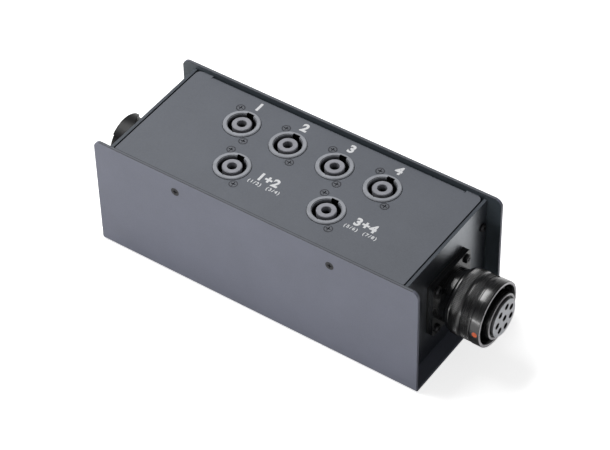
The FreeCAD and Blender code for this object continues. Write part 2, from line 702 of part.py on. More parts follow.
def shell_with_flange(name, profile):
    """Turned shell with a square flange on it."""
    body = lathe(name, profile, "X")
    holes = flange_holes() + [("0", "0", "rear_radius - 0.5")]
    outline = draw(body, name + "_square", "YZ_Plane", square_outline("square_side"), holes,
                   "gasket_thick")
    pad(body, name + "_flange", outline, "square_thick")
    round_corners(body, name + "_corners")
    return body


def rear_profile():
    """Outline of the part of a shell behind its flange, from the bore outwards."""
    return [("-rear_deep", "shell_bore"), ("-rear_deep", "rear_radius - 0.6"),
            ("-rear_deep + 0.6", "rear_radius"), ("gasket_thick + 0.5", "rear_radius")]


def ring_connector_shell():
    """Plug shell: flange, neck and the barrel that the coupling ring turns on."""
    groove = "barrel_radius - snap_groove_deep"
    body = shell_with_flange("ring_shell", rear_profile() + [
        ("gasket_thick + 0.5", "neck_radius"), ("neck_end - 0.4", "neck_radius"),
        ("neck_end", "neck_radius - 0.4"), ("neck_end", "barrel_radius"),
        ("snap_start - snap_fit", "barrel_radius"), ("snap_start - snap_fit", groove),
        ("snap_start + snap_thick + snap_fit", groove),
        ("snap_start + snap_thick + snap_fit", "barrel_radius"),
        ("barrel_end - barrel_chamfer", "barrel_radius"),
        ("barrel_end", "barrel_radius - barrel_chamfer"),
        ("barrel_end", "shell_bore + barrel_chamfer"),
        ("barrel_end - barrel_chamfer", "shell_bore")])
    keyway = block("ring_shell_key",
                   ("barrel_end - keyway_long", "barrel_radius - keyway_deep", "-keyway_wide / 2"),
                   ("keyway_long + 1", "keyway_deep + 1", "keyway_wide"))
    turned = place(together("ring_shell_key_turned", [keyway]), axis=V(1, 0, 0),
                   angle=value("key_angle"))
    shell = cut("ring_connector_shell", body, [turned])
    node("ring_connector_shell", connector_frame(shell, 1))


def knurl_band(name, start):
    """Straight-toothed band of triangular teeth, hollow at the root radius less a little."""
    teeth = int(value("knurl_teeth"))
    inner = value("knurl_root_radius") - 0.4
    rims = (value("knurl_root_radius"), value("knurl_radius"))
    points = []
    for step in range(2 * teeth + 1):
        angle = math.pi * (step % (2 * teeth)) / teeth
        rim = rims[step % 2]
        points.append(V(value(start), rim * math.cos(angle), rim * math.sin(angle)))
    teeth_face = Part.Face(Part.makePolygon(points))
    band = teeth_face.extrude(V(value("knurl_long"), 0, 0))
    core = Part.makeCylinder(inner, value("knurl_long"), V(value(start), 0, 0), V(1, 0, 0))
    return solid_feature(name, band.cut(core))


def radial_rod(name, radius, inner, outer, x, angle):
    """Cylinder that stands radially on the connector axis, angle from +Y towards +Z."""
    turn = FreeCAD.Rotation(V(1, 0, 0), angle - 90.0)
    out = (math.cos(math.radians(angle)), math.sin(math.radians(angle)))
    return rod(name, radius, "%s - (%s)" % (outer, inner), x, "(%s) * %.9f" % (inner, out[0]),
               "(%s) * %.9f" % (inner, out[1]), turn.Axis, math.degrees(turn.Angle))


def pin_angles():
    """Angles of the three bayonet pins."""
    return [value("pin_angle") + 120.0 * step for step in range(3)]


def coupling_ring():
    """Coupling ring: bearing web, two knurled bands, smooth rim with pin seats inside."""
    body = lathe("ring_blank", [
        ("ring_start", "barrel_radius + ring_bore_fit"),
        ("ring_start", "collar_ring_radius - 0.4"), ("ring_start + 0.4", "collar_ring_radius"),
        ("ring_start + collar_ring_long", "collar_ring_radius"),
        ("knurl_one", "knurl_root_radius"), ("knurl_one_end", "knurl_root_radius"),
        ("knurl_one_end + 0.7", "ring_groove_radius"),
        ("knurl_two - 0.6", "ring_groove_radius"), ("knurl_two", "knurl_root_radius"),
        ("knurl_two_end", "knurl_root_radius"),
        ("knurl_two_end + step_long", "smooth_radius"),
        ("ring_end - 0.5", "smooth_radius"), ("ring_end", "smooth_radius - 0.5"),
        ("ring_end", "ring_inner + 0.4"), ("ring_end - 0.4", "ring_inner"),
        ("ring_web_end", "ring_inner"), ("ring_web_end", "barrel_radius + ring_bore_fit")], "X")
    whole = fused("ring_knurled", [body, knurl_band("knurl_band_one", "knurl_one"),
                                   knurl_band("knurl_band_two", "knurl_two")])
    x = "ring_end - pin_back"
    seats = [radial_rod("pin_seat_%d" % number, "pin_radius + pin_fit", "ring_inner - 1",
                        "pin_root", x, angle) for number, angle in enumerate(pin_angles(), 1)]
    seats.append(radial_rod("dot_seat", "dot_radius + dot_fit", "smooth_radius - dot_sink",
                            "smooth_radius + 1", x, 180.0))
    ring = cut("coupling_ring", whole, seats)
    node("coupling_ring", connector_frame(ring, 1))
    pins = together("coupling_pins", [
        radial_rod("pin_%d" % number, "pin_radius", "pin_tip", "pin_root", x, angle)
        for number, angle in enumerate(pin_angles(), 1)])
    node("coupling_pins", connector_frame(pins, 1))
    dot = together("ring_position_dot", [
        radial_rod("dot_disc", "dot_radius", "smooth_radius - dot_sink",
                   "smooth_radius + dot_proud", x, 180.0)])
    node("ring_position_dot", connector_frame(dot, 1))


def wave_spring():
    """Thin washer with three waves between the ring's web and the snap ring."""
    inner = value("barrel_radius") + 0.2
    outer = value("spring_radius")
    rise = value("spring_rise")
    middle = value("ring_web_end + spring_gap + spring_rise")
    rims = []
    for radius in (inner, outer):
        points = []
        for step in range(72):
            angle = 2 * math.pi * step / 72
            points.append(V(middle + rise * math.cos(3 * angle), radius * math.cos(angle),
                            radius * math.sin(angle)))
        curve = Part.BSplineCurve()
        curve.interpolate(points, PeriodicFlag=True)
        rims.append(curve.toShape())
    sheet = Part.makeRuledSurface(rims[0], rims[1])
    washer = solid_feature("wave_spring", sheet.extrude(V(value("spring_thick"), 0, 0)))
    node("coupling_wave_spring", connector_frame(washer, 1))


def snap_ring():
    """Open retaining ring in the barrel's groove."""
    blank = lathe("snap_blank", [
        ("snap_start", "barrel_radius - snap_groove_deep + snap_fit"),
        ("snap_start", "snap_radius"), ("snap_start + snap_thick", "snap_radius"),
        ("snap_start + snap_thick", "barrel_radius - snap_groove_deep + snap_fit")], "X")
    opening = block("snap_opening_tool", ("snap_start - 1", "-snap_opening / 2", "0"),
                    ("snap_thick + 2", "snap_opening", "snap_radius + 1"))
    ring = cut("snap_ring", blank, [opening])
    node("coupling_snap_ring", connector_frame(ring, 1))


def insert_with_holes(name, profile, start, length, mirror=1):
    """Turned insert pierced for the contacts."""
    blank = lathe(name + "_blank", profile, "X")
    holes = [rod("%s_hole_%d" % (name, number), "contact_hole", length, start, y, z, *RIGHT)
             for number, (y, z) in enumerate(contact_spots(mirror), start=1)]
    return cut(name, blank, holes)


def ring_connector_inside():
    """Insert with socket contacts."""
    step = "(barrel_end - insert_step)"
    insert = insert_with_holes("ring_insert", [
        ("-insert_back", "0"), ("-insert_back", "insert_radius"), (step, "insert_radius"),
        (step, "insert_nose_radius"), ("insert_nose_end - 0.4", "insert_nose_radius"),
        ("insert_nose_end", "insert_nose_radius - 0.4"), ("insert_nose_end", "0")],
        "-insert_back - 1", "insert_back + insert_nose_end + 2")
    node("ring_connector_insert", connector_frame(insert, 1))
    contact = lathe("socket_contact", [
        ("-contact_end", "cup_bore"), ("-contact_end", "contact_radius"),
        ("socket_contact_end", "contact_radius"), ("socket_contact_end", "socket_bore"),
        ("socket_contact_end - socket_bore_deep", "socket_bore"),
        ("socket_contact_end - socket_bore_deep", "0"), ("-contact_end + cup_deep", "0"),
        ("-contact_end + cup_deep", "cup_bore")], "X")
    group = copies("ring_connector_contacts", contact,
                   [("0", y, z, *UP) for y, z in contact_spots()])
    node("ring_connector_contacts", connector_frame(group, 1))


def insert_nut(label, side):
    """Slotted ring nut that holds an insert from behind."""
    back = "-insert_back - insert_nut_thick"
    blank = lathe(label + "_blank", [
        (back, "insert_nut_bore"), (back, "insert_radius"), ("-insert_back", "insert_radius"),
        ("-insert_back", "insert_nut_bore")], "X")
    slot = block(label + "_slot", (back + " - 1", "-spanner_slot / 2", "-shell_bore - 1"),
                 ("insert_nut_thick / 2 + 1", "spanner_slot", "2 * shell_bore + 2"))
    node(label, connector_frame(cut(label, blank, [slot]), side))


def flange_fasteners(prefix, side, nut):
    """Screws and nuts of one square flange."""
    screw = pan_screw(prefix + "_screw", "flange_screw_long")
    corners = [("%d * square_hole" % sy, "%d * square_hole" % sz) for sy, sz in SIGNS]
    heads = copies(prefix + "_screws", screw, [("square_face", y, z, *RIGHT) for y, z in corners])
    nuts = copies(prefix + "_nuts", nut, [("-sheet_thick", y, z, *RIGHT) for y, z in corners])
    node(prefix + "_screws", connector_frame(heads, side))
    node(prefix + "_nuts", connector_frame(nuts, side))


def ramp_tools():
    """Three entries at the rim, each with a helical ramp that climbs down from it."""
    drop = value("ramp_drop")
    pitch = drop * 360.0 / value("ramp_turn")
    radius = value("receptacle_radius") + 0.3
    rim = value("receptacle_end")
    entry = value("entry_long")
    half = value("entry_angle") / 2
    floor = value("entry_floor")
    tools = []
    for step in range(3):
        centre = 30.0 + 120.0 * step
        sector = Part.makeCylinder(radius + 1, entry + 1, V(rim - entry, 0, 0), V(1, 0, 0), 2 * half)
        core = Part.makeCylinder(floor, entry + 3, V(rim - entry - 1, 0, 0), V(1, 0, 0))
        sector = sector.cut(core).Solids[0]
        middle = sector.CenterOfMass
        first = math.degrees(math.atan2(middle.z, middle.y))
        sector.rotate(V(0, 0, 0), V(1, 0, 0), centre - first)
        helix = Part.makeHelix(pitch, drop, radius)
        ball = value("ramp_radius")
        ring = Part.Wire(Part.Circle(V(radius, 0, 0), V(0, 1, 0), ball).toShape())
        ramp = Part.Wire(helix.Edges).makePipeShell([ring], True, True)
        ramp.rotate(V(0, 0, 0), V(0, 1, 0), -90.0)
        ramp.rotate(V(0, 0, 0), V(1, 0, 0), centre - 90.0)
        ramp.translate(V(rim - ball, 0, 0))
        tools += [solid_feature("entry_%d" % step, sector), solid_feature("ramp_%d" % step, ramp)]
    return tools


def receptacle():
    """Receptacle shell with its ramps, insert and pin contacts."""
    body = shell_with_flange("receptacle_blank", rear_profile() + [
        ("gasket_thick + 0.5", "land_radius"), ("land_end", "land_radius"),
        ("land_end", "receptacle_radius"), ("receptacle_end - 0.4", "receptacle_radius"),
        ("receptacle_end", "receptacle_radius - 0.4"), ("receptacle_end", "receptacle_bore + 0.4"),
        ("receptacle_end - 0.4", "receptacle_bore"), ("receptacle_step", "receptacle_bore"),
        ("receptacle_step", "shell_bore")])
    rib = block("receptacle_rib", ("receptacle_face + 2", "rib_radius", "-rib_wide / 2"),
                ("receptacle_end - receptacle_face - 4", "receptacle_bore + 0.4 - rib_radius",
                 "rib_wide"))
    turned = place(together("receptacle_rib_turned", [rib]), axis=V(1, 0, 0),
                   angle=180.0 - value("key_angle"))
    shell = fused("receptacle_keyed", [body, turned])
    for number, tool in enumerate(ramp_tools(), start=1):
        shell = cut("receptacle_cut_%d" % number, shell, [tool])
    node("receptacle_shell", connector_frame(shell, -1))
    insert = insert_with_holes("receptacle_core", [
        ("-insert_back", "0"), ("-insert_back", "insert_radius"),
        ("receptacle_step", "insert_radius"), ("receptacle_step", "receptacle_bore - insert_fit"),
        ("receptacle_face", "receptacle_bore - insert_fit"), ("receptacle_face", "0")],
        "-insert_back - 1", "insert_back + receptacle_face + 2", -1)
    node("receptacle_insert", connector_frame(insert, -1))
    pin = lathe("pin_contact", [
        ("-contact_end", "cup_bore"), ("-contact_end", "contact_radius"),
        ("receptacle_face - 1", "contact_radius"), ("receptacle_face - 1", "pin_contact_radius"),
        ("pin_contact_end - 0.6", "pin_contact_radius"),
        ("pin_contact_end", "pin_contact_radius - 0.5"), ("pin_contact_end", "0"),
        ("-contact_end + cup_deep", "0"), ("-contact_end + cup_deep", "cup_bore")], "X")
    group = copies("receptacle_pins", pin, [("0", y, z, *UP) for y, z in contact_spots(-1)])
    node("receptacle_pins", connector_frame(group, -1))


# ---------------------------------------------------------------- leads

def rounded_path(points, largest):
    """Straight runs joined by tangent arcs, as one wire; short runs get smaller arcs."""
    pieces = []
    start = points[0]
    for before, corner, after in zip(points, points[1:], points[2:]):
        room = 0.48 * min((before - corner).Length, (after - corner).Length)
        back = (before - corner).normalize()
        ahead = (after - corner).normalize()
        half = back.getAngle(ahead) / 2
        bend = min(largest, room * math.tan(half))
        trim = bend / math.tan(half)
        first = corner + back * trim
        last = corner + ahead * trim
        centre = corner + (back + ahead).normalize() * (bend / math.sin(half))
        middle = centre + (corner - centre).normalize() * bend
        pieces.append(Part.LineSegment(start, first).toShape())
        pieces.append(Part.Arc(first, middle, last).toShape())
        start = last
    pieces.append(Part.LineSegment(start, points[-1]).toShape())
    return Part.Wire(pieces)


def lead(points, bend, radius):
    """Round lead along a path; its volume must match section times length."""
    path = rounded_path(points, bend)
    ring = Part.Wire(Part.Circle(points[0], points[1] - points[0], radius).toShape())
    tube = path.makePipeShell([ring], True, False)
    if abs(tube.Volume / (math.pi * radius ** 2 * path.Length) - 1) > 0.01:
        raise RuntimeError("a lead came out with the wrong volume")
    return tube


def through_loom():
    """Eight leads from cup to cup, drawn together into a bundle low in the box."""
    end = value("plate_out - contact_end")
    axis = value("axis_high")
    low = value("loom_high")
    squeeze = value("loom_squeeze")
    leads = []
    for y_text, z_text in contact_spots():
        y = value(y_text)
        z = value(z_text)
        half = [(end, y, axis + z), (value("loom_leave"), y, axis + z),
                (value("loom_straight"), y * squeeze, low + z * squeeze)]
        path = [V(*spot) for spot in half] + [V(-x, b, c) for x, b, c in reversed(half)]
        tube = lead(path, value("loom_bend"), value("lead_radius"))
        for sign in (1, -1):
            strand = Part.makeCylinder(value("strand_radius"), value("strand_long") + 1,
                                       V(sign * (end - 1), y, axis + z), V(sign, 0, 0))
            tube = tube.fuse(strand)
        leads.append(tube)
    node("through_loom", solid_feature("through_loom", Part.makeCompound(leads)))


def loom_ties():
    """Cable ties round the bundle."""
    band = lathe("tie_band", [
        ("-tie_wide / 2", "tie_inner"), ("-tie_wide / 2", "tie_inner + tie_thick"),
        ("tie_wide / 2", "tie_inner + tie_thick"), ("tie_wide / 2", "tie_inner")], "X")
    head = block("tie_head_block", ("-tie_head / 2", "-tie_head / 2", "-tie_inner - 0.1 - tie_head"),
                 ("tie_head", "tie_head", "tie_head"))
    tie = fused("tie", [band, head])
    stations = ["%s + row_shift" % x
                for x in ("-tie_outer_x", "-tie_inner_x", "tie_inner_x", "tie_outer_x")]
    node("loom_ties", copies("loom_ties", tie, [(x, "0", "loom_high", *UP) for x in stations]))


def branch(spot, level, reach, toward):
    """One lead from a blade's tip down to the loom, with its splice sleeve."""
    x, y = spot
    tip = value("panel_top - blade_end")
    run = value("branch_run")
    path = [V(x, y, tip), V(x, y, level), V(x, reach, level), V(x + toward * run, reach, level)]
    radius = value("branch_radius")
    tube = lead(path, value("branch_bend"), radius)
    start = V(x + toward * (run - value("sleeve_long") + 1), reach, level)
    long = value("sleeve_long")
    sleeve = Part.makeCylinder(value("sleeve_radius"), long, start, V(toward, 0, 0))
    bore = Part.makeCylinder(radius + value("sleeve_fit"), long, start, V(toward, 0, 0))
    return [tube, sleeve.cut(bore)]


def socket_leads():
    """Two leads per back socket, four per front socket."""
    low = value("loom_high")
    step = value("branch_step")
    near = math.sqrt(value("branch_reach") ** 2 - step ** 2)
    wall = value("blade_radius + blade_thick / 2")
    post = value("post_blade_radius + blade_thick / 2")
    for number, (x_text, y_text) in enumerate(socket_centres(), start=1):
        x = value(x_text)
        y = value(y_text)
        toward = -math.copysign(1, x)
        side = math.copysign(1, y)
        if side > 0:
            level = low + toward * step
            routes = [((x + sign * wall, y), level, near) for sign in (1, -1)]
        else:
            routes = [((x + sign * wall, y), low - step, -near) for sign in (1, -1)]
            routes.append(((x, y + post), low + value("branch_reach"), 0.0))
            routes.append(((x, y - post), low - value("branch_reach"), 0.0))
        solids = []
        for spot, level, reach in routes:
            solids += branch(spot, level, reach, toward)
        label = "socket_leads_%d" % number
        node(label, solid_feature(label, Part.makeCompound(solids)))


# ---------------------------------------------------------------- build

def build():
    """Make every sub-part."""
    outer_shell()
    top_panel()
    end_plate("end_plate_right", "plate_out", 0.0)
    end_plate("end_plate_left", "-plate_out", 180.0)
    for name, sx, sy in (("right_back", 1, 1), ("right_front", 1, -1),
                         ("left_back", -1, 1), ("left_front", -1, -1)):
        bracket("bracket_" + name, sx, sy)
    nut = box_fasteners()
    sockets()
    gasket("ring_connector_gasket", 1)
    ring_connector_shell()
    coupling_ring()
    wave_spring()
    snap_ring()
    ring_connector_inside()
    insert_nut("ring_connector_insert_nut", 1)
    flange_fasteners("ring_connector", 1, nut)
    gasket("receptacle_gasket", -1)
    receptacle()
    insert_nut("receptacle_insert_nut", -1)
    flange_fasteners("receptacle", -1, nut)
    through_loom()
    loom_ties()
    socket_leads()


def check_and_export():
    """Refuse anything invalid, then write one STEP file per sub-part."""
    doc.recompute()
    for item in doc.Objects:
        if "Invalid" in item.State or "Error" in item.State:
            raise RuntimeError("object %s is in state %s" % (item.Label, item.State))
    os.makedirs("parts", exist_ok=True)
    for item in nodes:
        shape = item.Shape
        if shape.isNull() or not shape.isValid() or not shape.Solids:
            raise RuntimeError("sub-part %s has no valid solid" % item.Label)
        shape.exportStep("parts/%s.step" % item.Label)


build()
check_and_export()
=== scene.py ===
"""Looks of the portable breakout box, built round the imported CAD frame. Metres, row frame."""
import bpy
import json
import math
from mathutils import Matrix, Vector

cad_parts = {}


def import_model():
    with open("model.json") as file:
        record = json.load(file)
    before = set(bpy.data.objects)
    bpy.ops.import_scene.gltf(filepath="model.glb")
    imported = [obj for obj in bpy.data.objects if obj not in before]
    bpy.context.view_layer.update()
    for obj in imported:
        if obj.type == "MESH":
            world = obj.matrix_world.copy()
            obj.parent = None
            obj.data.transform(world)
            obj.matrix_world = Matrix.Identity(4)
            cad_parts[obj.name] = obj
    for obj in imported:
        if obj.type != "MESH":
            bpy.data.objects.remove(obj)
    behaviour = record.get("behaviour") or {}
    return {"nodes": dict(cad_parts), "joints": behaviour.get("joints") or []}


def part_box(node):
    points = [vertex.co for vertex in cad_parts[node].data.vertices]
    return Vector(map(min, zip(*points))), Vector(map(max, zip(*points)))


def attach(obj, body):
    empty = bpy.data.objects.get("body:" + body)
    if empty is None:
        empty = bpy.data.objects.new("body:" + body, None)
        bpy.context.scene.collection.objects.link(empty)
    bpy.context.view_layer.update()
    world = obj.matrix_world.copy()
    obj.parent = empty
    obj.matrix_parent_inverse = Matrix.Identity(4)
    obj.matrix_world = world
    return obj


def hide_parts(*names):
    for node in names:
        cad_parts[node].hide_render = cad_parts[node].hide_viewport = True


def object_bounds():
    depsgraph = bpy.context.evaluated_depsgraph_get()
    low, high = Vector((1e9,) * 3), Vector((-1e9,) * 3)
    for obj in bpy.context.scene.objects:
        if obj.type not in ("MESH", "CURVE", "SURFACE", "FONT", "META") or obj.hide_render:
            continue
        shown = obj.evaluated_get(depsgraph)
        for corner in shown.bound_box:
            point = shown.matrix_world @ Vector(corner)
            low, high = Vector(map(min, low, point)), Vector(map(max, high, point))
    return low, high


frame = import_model()
NODES = frame["nodes"]
cad_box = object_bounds()
MM = 0.001


def socket_place(number):
    """X and Y of a panel socket's axis, in mm to the nearest micrometre."""
    low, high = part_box("socket_%d_housing" % number)
    return tuple(round((low[axis] + high[axis]) / 2 / MM, 3) for axis in (0, 1))


# The sockets' rows, in mm. The back row has sockets 1 to 4, the front row 5 and 6.
PITCH = socket_place(2)[0] - socket_place(1)[0]
ROW_MIDDLE = (socket_place(1)[0] + socket_place(4)[0]) / 2
BACK_ROW, FRONT_ROW = socket_place(1)[1], socket_place(5)[1]

# Places on the CAD model, in metres.
SHEET = 2.0 * MM
WALL_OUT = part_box("outer_shell")[1][1]
SHELL_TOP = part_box("outer_shell")[1][2]
SHELL_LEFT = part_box("outer_shell")[0][0]
PANEL_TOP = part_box("top_panel")[1][2]
PLATE_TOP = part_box("end_plate_right")[1][2]
COLLAR_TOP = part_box("socket_1_housing")[1][2]
RING_START, RING_FACE = (corner[0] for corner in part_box("coupling_ring"))
BARREL_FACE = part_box("ring_connector_shell")[1][0]
AXIS_HIGH = frame["joints"][0]["pos_m"][2]

SHEETS = ("outer_shell", "top_panel", "end_plate_left", "end_plate_right")


# ---------------------------------------------------------------- node helpers

def srgb(*levels):
    """Linear colour from 0 to 255 display levels."""
    out = []
    for level in levels:
        c = level / 255.0
        out.append(c / 12.92 if c <= 0.04045 else ((c + 0.055) / 1.055) ** 2.4)
    return tuple(out) + (1.0,)


def shade(tone, factor):
    """A colour made darker or lighter."""
    return tuple(c * factor for c in tone[:3]) + (1.0,)


class Nodes:
    """Small helper that wires nodes into one node tree."""

    def __init__(self, tree):
        self.tree = tree

    def new(self, kind, **props):
        """A node with properties set."""
        item = self.tree.nodes.new(kind)
        for key, setting in props.items():
            setattr(item, key, setting)
        return item

    def link(self, a, b):
        """Join an output to an input."""
        self.tree.links.new(a, b)

    def feed(self, socket, side):
        """Give an input a number, a tuple or another node's output."""
        if isinstance(side, (int, float, tuple)):
            socket.default_value = side
        else:
            self.link(side, socket)

    def part(self, vector, axis):
        """One coordinate of a vector."""
        split = self.new("ShaderNodeSeparateXYZ")
        self.link(vector, split.inputs[0])
        return split.outputs[axis]

    def band(self, value, low, high, out_low=0.0, out_high=1.0):
        """Map a value range to another, clamped."""
        item = self.new("ShaderNodeMapRange")
        for key, level in (("From Min", low), ("From Max", high), ("To Min", out_low),
                           ("To Max", out_high)):
            item.inputs[key].default_value = level
        self.link(value, item.inputs["Value"])
        return item.outputs["Result"]

    def maths(self, operation, *sides):
        """One maths node; each side is a number or an output."""
        item = self.new("ShaderNodeMath", operation=operation)
        for socket, side in zip(item.inputs, sides):
            self.feed(socket, side)
        return item.outputs["Value"]

    def size(self, a, b):
        """Length of the vector with two given parts."""
        return self.maths("SQRT", self.maths("ADD", self.maths("MULTIPLY", a, a),
                                             self.maths("MULTIPLY", b, b)))

    def mix(self, factor, a, b):
        """Mix of two colours; either may be a tuple."""
        item = self.new("ShaderNodeMix", data_type="RGBA", blend_type="MIX")
        self.feed(item.inputs["Factor"], factor)
        self.feed(item.inputs[6], a)
        self.feed(item.inputs[7], b)
        return item.outputs[2]

    def blend(self, factor, a, b):
        """Mix of two values."""
        item = self.new("ShaderNodeMix", data_type="FLOAT")
        self.feed(item.inputs["Factor"], factor)
        self.feed(item.inputs[2], a)
        self.feed(item.inputs[3], b)
        return item.outputs[0]


class Paint(Nodes):
    """Procedural layers on one Principled material. Lengths are in metres."""

    def __init__(self, name, roughness=0.5, metallic=0.0, **sockets):
        self.mat = bpy.data.materials.new(name)
        self.mat.use_nodes = True
        super().__init__(self.mat.node_tree)
        self.shader = self.tree.nodes["Principled BSDF"]
        self.shader.inputs["Roughness"].default_value = roughness
        self.shader.inputs["Metallic"].default_value = metallic
        for socket, level in sockets.items():
            self.shader.inputs[socket.replace("_", " ")].default_value = level
        self.coord = self.new("ShaderNodeTexCoord").outputs["Object"]
        self.last_normal = None

    def stretched(self, scale):
        """Object coordinates scaled per axis, so that a pattern can run along one of them."""
        item = self.new("ShaderNodeMapping")
        item.inputs["Scale"].default_value = scale
        self.link(self.coord, item.inputs["Vector"])
        return item.outputs["Vector"]

    def noise(self, scale, detail=3.0, rough=0.55, vector=None):
        """Noise value with features of about 1/scale metres."""
        item = self.new("ShaderNodeTexNoise")
        item.inputs["Scale"].default_value = scale
        item.inputs["Detail"].default_value = detail
        item.inputs["Roughness"].default_value = rough
        self.link(vector or self.coord, item.inputs["Vector"])
        return item.outputs["Fac"]

    def place(self, axis):
        """One object coordinate."""
        return self.part(self.coord, axis)

    def above(self, low, high, axis="Z"):
        """0 below one place on an axis, 1 above the other."""
        return self.band(self.place(axis), low, high)

    def outward(self):
        """Distance from the box's middle plane, along Y."""
        return self.maths("ABSOLUTE", self.place("Y"))

    def from_axis(self):
        """Distance to the connectors' axis, and the angle round it."""
        y, z = self.place("Y"), self.maths("SUBTRACT", self.place("Z"), AXIS_HIGH)
        return self.size(y, z), self.maths("ARCTAN2", z, y)

    def nearest_bore(self, count, circle, first):
        """Distance to the nearest of a connector's bores: a circle of them and a centre one."""
        away, angle = self.from_axis()
        half = math.pi / count
        turn = self.maths("WRAP", self.maths("SUBTRACT", angle, math.radians(first)), half, -half)
        bend = self.maths("MULTIPLY", self.maths("COSINE", turn), -2.0 * circle)
        square = self.maths("ADD", self.maths("MULTIPLY", away, self.maths("ADD", away, bend)),
                            circle * circle)
        return self.maths("MINIMUM", self.maths("SQRT", square), away)

    def from_socket(self, side=0.0, up=0.0):
        """Distance to the nearest panel socket's axis, or to points that far beside it."""
        between = (BACK_ROW + FRONT_ROW) / 2 * MM
        half = PITCH / 2 * MM
        back = self.above(between, between + 0.1 * MM, axis="Y")
        row = self.maths("ADD", self.maths("MULTIPLY", back, (BACK_ROW - FRONT_ROW) * MM),
                         FRONT_ROW * MM)
        across = self.maths("ABSOLUTE", self.maths("SUBTRACT", self.place("Y"), row))
        shifted = self.maths("SUBTRACT", self.place("X"), ROW_MIDDLE * MM)
        shifted = self.maths("SUBTRACT", shifted, self.maths("MULTIPLY", back, half))
        along = self.maths("ABSOLUTE", self.maths("WRAP", shifted, half, -half))
        return self.size(self.maths("SUBTRACT", across, up), self.maths("SUBTRACT", along, side))

    def colour(self, output):
        """Use an output as the colour."""
        self.link(output, self.shader.inputs["Base Color"])

    def rough(self, output):
        """Use an output as the roughness."""
        self.link(output, self.shader.inputs["Roughness"])

    def bump(self, height, distance):
        """Add a bump layer; distance is its relief."""
        item = self.new("ShaderNodeBump")
        item.inputs["Strength"].default_value = 1.0
        item.inputs["Distance"].default_value = distance
        self.link(height, item.inputs["Height"])
        if self.last_normal is not None:
            self.link(self.last_normal, item.inputs["Normal"])
        self.last_normal = item.outputs["Normal"]
        self.link(self.last_normal, self.shader.inputs["Normal"])


# ---------------------------------------------------------------- materials

# Painted shade: the walls' inner faces are given this darker tone above the base.
INNER_FACE_SHADE = srgb(76, 85, 92)
# Top edges of the walls: a tone painted a shade darker than the walls, and painted shadow lines at
# both borders.
TOP_EDGE_SHADE, EDGE_SHADOW_LINE = srgb(98, 102, 110), srgb(50, 53, 58)
# Painted highlight: the end plates' upward-facing top edge is painted paler than their faces.
PLATE_EDGE_HIGHLIGHT = srgb(66, 70, 75)
# Painted shade: near-black tones below the socket collars, in their key slots and in the bore
# mouths.
DEEP_SHADE, SLOT_SHADE, BORE_SHADE = srgb(15, 16, 20), srgb(10, 10, 12), srgb(9, 9, 10)
# Painted shadow: a dark ring round each socket screw's head, as of the gap at its seat.
HEAD_GAP_SHADOW = srgb(66, 68, 74)
# RUBBED_BLACK marks real rubbed specks; the rim tone is a worn rim painted bright as a highlight.
RUBBED_BLACK, WORN_RIM_HIGHLIGHT = srgb(96, 92, 88), srgb(206, 203, 208)
THIN_INK = srgb(150, 152, 155)


def powder(name, tone, grain, relief, roughness, worn, folded=False):
    """Powder coat: mottling, grain, rubbed specks; on a folded shell, painted shade on walls and
    edges.
    """
    p = Paint(name, roughness=roughness)
    cloud = p.band(p.noise(28.0, 4.0, 0.6), 0.3, 0.7)
    fine = p.band(p.noise(grain, 2.0, 0.6), 0.32, 0.68)
    base = p.mix(cloud, shade(tone, 0.86), tone)
    base = p.mix(p.maths("MULTIPLY", fine, 0.55), base, shade(tone, 1.12))
    speck = p.band(p.noise(grain * 0.23, 5.0, 0.75), 0.66, 0.74)
    base = p.mix(p.maths("MULTIPLY", speck, worn), base, shade(tone, 1.5))
    if folded:
        base = walls(p, base)
    p.colour(base)
    p.rough(p.band(p.noise(grain * 0.5, 3.0), 0.3, 0.7, roughness - 0.07, roughness + 0.07))
    p.bump(p.noise(grain, 2.0, 0.5), relief)
    p.bump(p.noise(grain * 0.22, 2.0, 0.5), relief * 1.4)
    return p.mat


def walls(p, base):
    """Painted shade on inner faces above the base; top edges painted darker, with shadowed borders.
    """
    inside = WALL_OUT - SHEET + 0.2 * MM
    # Painted shade on the inner faces of the walls, above the base.
    elsewhere = p.maths("MAXIMUM", p.band(p.outward(), inside - 0.1 * MM, inside),
                        p.above(SHEET + 0.6 * MM, SHEET + 0.2 * MM))
    base = p.mix(elsewhere, INNER_FACE_SHADE, base)
    # Painted shade along the top edges, with painted shadow lines at both borders.
    from_middle = p.maths("ABSOLUTE", p.maths("SUBTRACT", p.outward(), WALL_OUT - SHEET / 2))
    line = p.mix(p.band(from_middle, 0.55 * MM, 0.7 * MM), TOP_EDGE_SHADE, EDGE_SHADOW_LINE)
    return p.mix(p.above(SHELL_TOP - 0.2 * MM, SHELL_TOP - 0.1 * MM), base, line)


def satin(name, tone, roughness):
    """Satin sprayed paint, faint orange peel; plates' top edge dull, with a painted highlight."""
    p = Paint(name, roughness=roughness, Specular_IOR_Level=1.0, Coat_Weight=1.0,
              Coat_Roughness=0.31, Coat_IOR=1.75, Specular_Tint=(0.8, 0.88, 1.0, 1.0),
              Coat_Tint=(0.9, 0.95, 1.0, 1.0))
    cloud = p.band(p.noise(35.0, 4.0, 0.6), 0.3, 0.7)
    # Painted highlight: the top edge, facing up, is painted paler; it is also rougher.
    edge = p.above(PLATE_TOP - 0.15 * MM, PLATE_TOP - 0.05 * MM)
    p.colour(p.mix(edge, p.mix(cloud, shade(tone, 0.82), tone), PLATE_EDGE_HIGHLIGHT))
    face = p.band(p.noise(420.0, 4.0), 0.3, 0.7, roughness - 0.05, roughness + 0.06)
    p.rough(p.maths("ADD", face, edge))
    p.bump(p.noise(900.0, 2.0), 0.002 * MM)
    return p.mat


